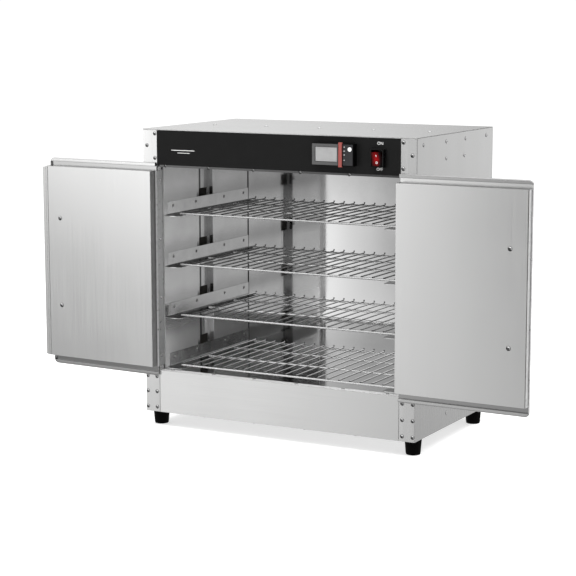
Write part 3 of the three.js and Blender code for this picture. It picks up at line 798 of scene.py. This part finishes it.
RAIL_SHEET, RAIL_FOLD = 1.2 * MM, 3.0 * MM
WEB_FRONT, WEB_ROUND, LEDGE_ROUND = 18 * MM, 6 * MM, 10 * MM


def rail_section(ledge, web, offset):
    """Half an angle rail's skin, offset from its outside: (reach from the liner, height, front end)."""
    rows = []
    for turn in arc(8):
        height = web - WEB_ROUND * (1 - math.cos(turn))
        rows.append((offset, height, WEB_FRONT + WEB_ROUND * (1 - math.sin(turn))))
    rows.append((offset, RAIL_FOLD + 2 * MM, WEB_FRONT))
    radius = RAIL_FOLD - offset
    for k, turn in enumerate(arc(8)):
        reach, height = RAIL_FOLD - radius * math.cos(turn), RAIL_FOLD - radius * math.sin(turn)
        rows.append((reach, height, WEB_FRONT * (1 - k / 8)))
    for turn in arc(8):
        reach = ledge - LEDGE_ROUND + LEDGE_ROUND * math.sin(turn)
        rows.append((reach, offset, LEDGE_ROUND * (1 - math.cos(turn))))
    return rows


def rail(side, level):
    """An angle rail folded from one strip, with a rounded fold and rounded front corners."""
    node = f"{side}_rail_{level}"
    low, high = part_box(node)
    sign = SIDES[side]
    wall = low.x if sign < 0 else high.x
    ledge, web = high.x - low.x, high.z - low.z
    outer = rail_section(ledge, web, 0.0)
    inner = rail_section(ledge, web, RAIL_SHEET)
    loop = outer + inner[::-1]
    front = [Vector((wall - sign * reach, low.y + start, low.z + rise)) for reach, rise, start in loop]
    back = [Vector((point.x, high.y, point.z)) for point in front]
    count = len(loop)
    faces = bands(count, 2)
    for base in (0, count):
        for k in range(len(outer) - 1):
            faces.append((base + k, base + k + 1, base + count - 2 - k, base + count - 1 - k))
    shape = Shape()
    shape.add(front + back, faces)
    piece = shape.object(f"{side}_angle_rail_{level}", RAIL_STEEL, crease=40, even=True)
    piece.visible_glossy = False
    settle(piece, node)


def racks_and_rails():
    # The rail screws' rings take a paler painted shade.
    coats = (RAIL_SCREW_STEEL, SOFT_STEEL)
    for level in LEVELS:
        wire_rack(level)
        spots = []
        for name, side in SIDES.items():
            rail(name, level)
            low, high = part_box(f"{name}_rail_{level}")
            face = low.x + RAIL_SHEET if side < 0 else high.x - RAIL_SHEET
            for y in (53, 147, 268, 356):
                spots.append((Vector((face, FRONT + y * MM, low.z + 19 * MM)), (-side, 0, 0)))
        heads = screws(f"rail_screws_{level}", spots, 3.0 * MM, coats)
        heads.visible_glossy = False


# ---- feet and gland
def feet():
    """Each foot is a moulded cup, turned from a profile of (radius, height)."""
    profile = [(0.2, 0.0), (12.6, 0.0), (14.2, 0.5), (15.0, 2.2), (15.5, 6.0), (16.4, 18.0)]
    profile += [(17.2, 27.5), (17.5, 29.5), (17.5, 31.2), (17.2, 31.7), (0.2, 31.7)]
    for end in ("front", "rear"):
        for side in SIDES:
            name = f"{end}_{side}_foot"
            low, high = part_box(name)
            middle = Vector(((low.x + high.x) / 2, (low.y + high.y) / 2, low.z))
            shape = Shape()
            shape.turned(profile, Matrix.Translation(middle) @ SHRINK, 56)
            foot = shape.object(f"{end}_{side}_rubber_foot", RUBBER, crease=50)
            settle(foot, name)


def gland():
    """The cord gland: a nut and a cap outside the back panel, a nut and the barrel inside it."""
    low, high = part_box("cord_gland")
    middle = Vector(((low.x + high.x) / 2, FRONT + DEPTH * MM, (low.z + high.z) / 2))
    out = facing(middle, (0, 1, 0)) @ SHRINK
    dome = [(9.4, 9.0), (9.2, 11.5), (8.2, 13.8), (6.4, 15.0), (4.6, 15.0), (4.4, 14.4), (4.4, 9.2)]
    shape = Shape()
    for profile, sides in (
        ([(12.0, 0.3), (12.0, 4.5)], 6),
        ([(10.4, 4.5), (10.4, 9.5)], 6),
        (dome, 40),
        ([(10.6, -8), (10.6, -1.6)], 6),
        ([(7.4, -1.7), (7.4, 0.4)], 32),
    ):
        shape.turned(profile, out, sides)
    piece = shape.object("gland_nuts", CASE_BLACK, bevel=0.35 * MM)
    settle(piece, "cord_gland")


# ---- doors and hinges
# Millimetres out from a door's pin, behind the pin's line, and over the cabinet's underside.
SKIN = {"from": 0.8, "to": 281.7, "bottom": 80.8, "top": 538.4, "front": -4.0, "back": 2.0}
HEM, CORNER = 8.0, 10.0
PAN = {"from": 1.6, "to": 279.5, "bottom": 102.0, "top": 521.4, "front": -2.7, "back": 19.0}
PAN_EDGE = 0.8
HANDLE = {"from pin": 244.0, "low": 216.0, "high": 408.0, "out": 26.0, "radius": 5.0, "bend": 12.0}
HINGE = {"knuckles": 33, "radius": 2.5, "pin": 1.2, "gap": 0.3}


def joint_of(name):
    return next(joint for joint in frame["joints"] if joint["name"] == name)


def leaf_place(side, turn):
    """Takes door millimetres to the frame, turned about the door's pin."""
    pin = Vector(joint_of(f"{side}_door_hinge")["pos_m"])
    flip = Matrix.Scale(-SIDES[side], 4, (1, 0, 0))
    return Matrix.Translation((pin.x, pin.y, BASE)) @ turn @ flip @ SHRINK


def door_place(side):
    """The door's own place at rest, where it stands open."""
    opened = math.radians(-joint_of(f"{side}_door_hinge")["range_deg"][0])
    return leaf_place(side, Matrix.Rotation(SIDES[side] * opened, 4, "Z"))


def post_place(side):
    """The same for the leaf on the post, which doesn't turn."""
    return leaf_place(side, Matrix.Identity(4))


def hinge_leaf(side, kind, place, first, tab, plate_back, body):
    """A leaf of the piano hinge, as tall as the pan: a plate, and every second knuckle on the pin."""
    bottom, top, radius, gap = PAN["bottom"], PAN["top"], HINGE["radius"], HINGE["gap"]
    pitch = (top - bottom) / HINGE["knuckles"]
    shape = Shape()
    # The plate takes the second material, a darker copy of the steel: painted shade.
    shape.block((tab[0], radius + gap, bottom), (tab[1], plate_back, top), place, slot=1)
    for i in range(first, HINGE["knuckles"], 2):
        low = bottom + i * pitch + gap
        high = low + pitch - 2 * gap
        shape.turned([(radius, low), (radius, high)], place, 20)
        shape.block((tab[0], 0.5, low), (tab[1], radius + 0.5, high), place)
    if first:
        shape.turned([(HINGE["pin"], bottom - 0.8), (HINGE["pin"], top + 0.8)], place, 20)
    piece = shape.object(f"{side}_{kind}_knuckles", [HINGE_STEEL, LEAF_STEEL])
    settle(piece, f"{side}_hinge_{kind}_leaf", body)


def handle(side):
    """A grab handle bent from round bar, on two small collars."""
    place = door_place(side)
    at, low, high, bend = HANDLE["from pin"], HANDLE["low"], HANDLE["high"], HANDLE["bend"]
    skin = SKIN["front"] - 0.3
    outer = skin - HANDLE["out"] + 0.3
    path = [(skin, low), (outer + bend, low)]
    for turn in arc(8)[1:]:
        path.append((outer + bend - bend * math.sin(turn), low + bend - bend * math.cos(turn)))
    for turn in arc(8):
        path.append((outer + bend - bend * math.cos(turn), high - bend + bend * math.sin(turn)))
    path.append((skin, high))
    shape = Shape()
    shape.tube([place @ Vector((at, y, z)) for y, z in path], HANDLE["radius"] * MM, 24)
    for z in (low, high):
        collar = facing(place @ Vector((at, skin, z)), place.to_3x3() @ Vector((0, -1, 0)))
        shape.turned([(7.6, 0), (7.6, 1.6), (6.8, 2.4)], collar @ SHRINK, 36)
    piece = shape.object(f"{side}_handle_bar", HINGE_STEEL, crease=40)
    settle(piece, f"{side}_door_handle", f"{side}_door")


# Painted light and shade on each door's border: the shares of its tone kept by its bottom hem,
# the sheet over that, the sheet under its top hem, and its top hem.
PAINTED_BORDER_SHARES = {"left": (0.62, 0.36, 0.78, 0.95), "right": (0.8, 0.5, 1.1, 0.66)}


@material
def border_steel(graph, side):
    """The door sheet's inward side, with painted light and shade, band by band, on its hems and strips.
    """
    low_hem, high_hem = SKIN["bottom"] + HEM, SKIN["top"] - HEM
    spans = (
        (SKIN["bottom"] - 2, low_hem),
        (low_hem, PAN["bottom"]),
        (PAN["top"], high_hem),
        (high_hem, SKIN["top"] + 2),
    )
    height = graph.math("SUBTRACT", graph.place()[2], BASE)
    haze = graph.noise((6.0, 6.0, 200.0), 3.0)
    total = graph.spread(haze, 0.985, 1.015)
    for (low, high), share in zip(spans, PAINTED_BORDER_SHARES[side]):
        total = graph.dimmed(total, graph.between(height, low * MM, high * MM, 0.0006), share)
    return {
        "Base Color": graph.tinted((0.8, 0.8, 0.796), total),
        "Roughness": graph.spread(haze, 0.2, 0.24),
        "Metallic": 1.0,
    }


def loft(shape, place, loops, closed, slots):
    """A skin over loops of equally many points, filled at its first and last loop.

    slots gives the materials in turn: of the first fill, of each band between loops, of the last fill.
    """
    count = len(loops[0])
    last = (len(loops) - 1) * count
    across = count if closed else count - 1
    faces = [tuple(range(count)), *bands(count, len(loops), closed), tuple(range(last, last + count))]
    face_slots = [slots[0]]
    for slot in slots[1:-1]:
        face_slots += [slot] * across
    face_slots.append(slots[-1])
    if not closed:
        start = [i * count for i in range(len(loops))]
        finish = [i + count - 1 for i in reversed(start)]
        faces.append(tuple(start + finish))
        face_slots.append(0)
    shape.add([place @ Vector(point) for loop in loops for point in loop], faces, face_slots)


def skin_section():
    """The door skin's edge as (inset from its top or bottom, inset from its free edge, y)."""
    front, back = SKIN["front"], SKIN["back"]
    roll, middle, lip = (back - front) / 2, (back + front) / 2, 0.7
    rows = []
    for turn in arc(12, -90, 90):
        rows.append((roll - roll * math.cos(turn), 1 - math.cos(turn), middle + roll * math.sin(turn)))
    for turn in arc(4):
        rows.append((HEM - lip + lip * math.sin(turn), 1.0, back - lip + lip * math.cos(turn)))
    rows.append((HEM, 1.2, front + 1.0))
    return rows


def door_skin(side):
    """The outer sheet: rolled over and hemmed along its top and bottom, folded at its free edge."""
    loops = []
    for inset, side_inset, y in skin_section():
        radius = max(CORNER - inset, 2.5)
        end = SKIN["to"] - side_inset - radius
        low, high = SKIN["bottom"] + inset, SKIN["top"] - inset
        loop = [(SKIN["from"], y, low)]
        for middle, first in ((low + radius, -90), (high - radius, 0)):
            for turn in arc(8, first, first + 90):
                loop.append((end + radius * math.cos(turn), y, middle + radius * math.sin(turn)))
        loop.append((SKIN["from"], y, high))
        loops.append(loop)
    # The rolled crown takes painted shade, the free edge a painted highlight, the border painted bands.
    outside, border, rolled, free_edge = 0, 1, 2, 3
    slots = [outside] * 4 + [rolled] * 5 + [border] * (len(loops) - 8)
    shape = Shape()
    loft(shape, door_place(side), loops, closed=False, slots=slots)
    around = len(loops[0]) - 1
    for band in range(3, len(loops) - 1):
        first = 1 + around * band
        shape.slots[first + 8 : first + 11] = [free_edge] * 3
    border_coat = border_steel(f"{side}_border_steel", side)
    coats = [DOOR_STEEL, border_coat, EDGE_STEEL, BRIGHT_EDGE_STEEL]
    return shape.object(f"{side}_outer_skin", coats, crease=50, even=True)


def pan_lip(shape, place, slot):
    """The left pan's lip: a flat strip past its free side, with a groove where it's folded."""
    section = [(-3.5, 0.0), (0.0, 0.0), (9.0, 0.2), (8.8, 1.0)]
    section += [(1.2, 1.0), (0.8, 0.3), (0.4, 1.0), (-3.5, 1.0)]
    bottom, top = [], []
    for out, rise in section:
        cut = max(0.0, out - 7.5)
        x, y = PAN["to"] + out, PAN["back"] + rise
        bottom.append((x, y, PAN["bottom"] + 0.5 + cut))
        top.append((x, y, PAN["top"] - 1.5 - cut))
    loft(shape, place, [bottom, top], closed=True, slots=[slot] * 3)


def door_pan(side):
    """The inner pan, with soft edges; the left one has a lip that laps over the other door's edge."""
    edge, front, back = PAN_EDGE, PAN["front"], PAN["back"]
    section = [(1.0, back - 1.0), (1.0, front), (0.0, front), (0.0, back - edge - 2.6)]
    for turn in arc(6):
        section.append((edge - edge * math.cos(turn), back - edge + edge * math.sin(turn)))
    loops = []
    for inset, y in section:
        x0, x1 = PAN["from"] + inset, PAN["to"] - inset
        z0, z1 = PAN["bottom"] + inset, PAN["top"] - inset
        loops.append([(x0, y, z0), (x1, y, z0), (x1, y, z1), (x0, y, z1)])
    # The pan's side walls take painted shade, and the left pan's lip a darker copy: painted shade too.
    face, wall, free_side, shadow, lip = range(5)
    shape = Shape()
    place = door_place(side)
    loft(shape, place, loops, closed=True, slots=[wall] * 5 + [face] * (len(loops) - 4))
    # The right pan's free side takes a painted highlight, and the strip past it a painted shadow.
    if side == "right":
        # Faces go the first fill, then four to a band; the second of each four is the free side.
        first_wall = 1 + 4 * 2 + 1
        shape.slots[first_wall] = free_side
        for step in (1, 2, 3):
            shape.slots[first_wall + 4 * step] = shadow
    else:
        pan_lip(shape, place, lip)
    coats = [DOOR_STEEL, SHADED_STEEL, BRIGHT_EDGE_STEEL, PAINTED_SHADE_STEEL, LIP_STEEL]
    return shape.object(f"{side}_inner_pan", coats, crease=50, even=True)


def doors():
    for side in SIDES:
        body = f"{side}_door"
        place, post = door_place(side), post_place(side)
        for piece, node in ((door_skin(side), "skin"), (door_pan(side), "pan")):
            settle(piece, f"{side}_door_{node}", body)
        dress(f"{side}_door_insulation", WOOL)
        hinge_leaf(side, "post", post, 0, (0.3, 1.3), 24.2, "cabinet")
        hinge_leaf(side, "door", place, 1, (1.9, 2.9), 18.0, body)
        handle(side)
        inward = place.to_3x3() @ Vector((0, 1, 0))
        heights = (HANDLE["low"], HANDLE["high"])
        spots = [(place @ Vector((HANDLE["from pin"], PAN["back"], z)), inward) for z in heights]
        screws(f"{side}_handle_screws", spots, 4.0 * MM, body=body)
        toward_room = Vector((-SIDES[side], 0, 0))
        spots = [(post @ Vector((1.3, 14, z)), toward_room) for z in (122.5, 249, 375, 501)]
        screws(f"{side}_post_screws", spots, 2.6 * MM, rise=0.14)
        trim = Shape()
        trim.block((1.35, 24.3, 90), (3.6, 25.2, 528.6), post)
        settle(trim.object(f"{side}_jamb_trim", TRIM_GREY))


# ---- controls
CASE_FRONT = -16.0  # the controller's face stands 16 mm before the cabinet's front


def front_piece(name, coat, x, z, y, bevel=0.0):
    """A thin raised piece on the front: its x and z spans and its y span, in millimetres."""
    shape = Shape()
    shape.block(cab(x[0], y[0], z[0]), cab(x[1], y[1], z[1]))
    settle(shape.object(name, coat, bevel=bevel))


def picture_frame(shape, outer, inner, y0, y1):
    """A flat frame between two upright rectangles (x0, x1, z0, z1)."""
    x0, x1, z0, z1 = outer
    a0, a1, b0, b1 = inner
    sides = (((x0, z0), (x1, b0)), ((x0, b1), (x1, z1)), ((x0, b0), (a0, b1)), ((a1, b0), (x1, b1)))
    for low, high in sides:
        shape.block(cab(low[0], y0, low[1]), cab(high[0], y1, high[1]))


def controller_clip():
    """The red clip: a strap down the controller's face, hooked over its ends, with three ribs."""
    x0, x1, front, bottom, top = 154.4, 161.8, -18.2, 546.8, 595.7
    strap = Shape()
    strap.block(cab(x0, front, bottom), cab(x1, CASE_FRONT, top))
    for low, high in ((bottom, 549.0), (593.5, top)):
        strap.block(cab(x0, CASE_FRONT, low), cab(x1, -13.0, high))
    for z in (566.0, 571.25, 576.5):
        strap.block(cab(x0 + 1.6, front - 0.3, z - 0.7), cab(x1 - 1.6, front + 0.1, z + 0.7))
    piece = strap.object("clip_strap", CLIP_RED, bevel=0.4 * MM)
    settle(piece, "controller_clip")


def switch_collar():
    """The rocker switch's body: a flange on the fascia, a deep collar round the rocker, its bottom."""

    def around(half_width, half_height):
        x, z = SWITCH["x"], SWITCH["z"]
        return (x - half_width, x + half_width, z - half_height, z + half_height)

    well, collar, flange = around(11.7, 16.3), around(14.5, 17.5), around(16.5, 18.9)
    shape = Shape()
    picture_frame(shape, collar, well, -10.8, 7.0)
    picture_frame(shape, flange, collar, -2.6, -0.3)
    shape.block(cab(collar[0], 7.0, collar[2]), cab(collar[1], 22.0, collar[3]))
    piece = shape.object("switch_collar", SWITCH_BLACK, bevel=0.9 * MM)
    settle(piece, "rocker_bezel")


def rocker_marks():
    """The bar and the ring moulded into the rocker's upper and lower face, which slope apart."""
    pivot = Matrix.Translation(cab(SWITCH["x"], SWITCH["pivot"], SWITCH["z"]))
    rocked = pivot @ Matrix.Rotation(math.radians(SWITCH["tilt"]), 4, "X") @ SHRINK
    slope = Matrix.Rotation(math.radians(10.5), 4, "X")
    upper = rocked @ Matrix.Translation((0, -8.9, 7.0)) @ slope
    lower = rocked @ Matrix.Translation((0, -8.9, -7.0)) @ slope.inverted()
    outward = Matrix.Translation((0, 0.3, 0)) @ Matrix.Rotation(math.radians(90), 4, "X")
    marks = Shape()
    marks.block((-0.55, -0.12, -2.2), (0.55, 0.3, 2.2), upper)
    marks.turned([(2.3, 0.0), (2.3, 0.42), (1.4, 0.42), (1.4, 0.0)], lower @ outward, 28)
    settle(marks.object("rocker_marks", MARK_WHITE), body="rocker")


def lettering(name, text, x, z, height):
    """Plain printed words, flat on the fascia."""
    data = bpy.data.curves.new(name, "FONT")
    data.body = text
    data.size = height / 0.72 * MM
    data.align_x = "CENTER"
    data.align_y = "CENTER"
    data.extrude = 0.05 * MM
    words = bpy.data.objects.new(name, data)
    words.rotation_euler = (math.radians(90), 0, 0)
    words.location = cab(x, -0.08, z)
    words.data.materials.append(MARK_WHITE)
    bpy.context.scene.collection.objects.link(words)
    settle(words)


def controls():
    dress("controller_housing", CASE_BLACK, 0.8 * MM)
    dress("controller_window", WINDOW_GREY, 0.3 * MM)
    controller_clip()
    dress("controller_button", MARK_WHITE, 0.5 * MM)
    dress("rocker", LENS_RED, 0.9 * MM)
    switch_collar()
    rocker_marks()

    face = CASE_FRONT
    bezel = Shape()
    window = (101.4, 150.6, 556.4, 586.6)
    picture_frame(bezel, (95, 152.5, 550.2, 592.3), window, face - 0.8, face + 0.1)
    settle(bezel.object("display_bezel", BEZEL_GREY))
    panel, proud = (163.4, 185.2), (face - 0.4, face + 0.1)
    front_piece("keypad_panel", PANEL_GREY, panel, (550.4, 592), proud, 0.2 * MM)
    for i, z in enumerate((587, 579, 571.5, 561)):
        x, half = 166.6, 0.8
        across, up, proud = (x - half, x + half), (z - half, z + half), (face - 0.7, face - 0.4)
        front_piece(f"keypad_mark_{i + 1}", MARK_WHITE, across, up, proud)

    bars = (("long", (-247, -190), (564.9, 566.1)), ("short", (-232, -202), (559.6, 560.6)))
    for name, across, up in bars:
        front_piece(f"printed_bar_{name}", MARK_WHITE, across, up, (-0.12, 0.02))
    lettering("word_on", "ON", 238, 595.5, 6.2)
    lettering("word_off", "OFF", 237, 544.4, 5.8)


cabinet_sheets()
body_screws()
racks_and_rails()
feet()
gland()
doors()
controls()
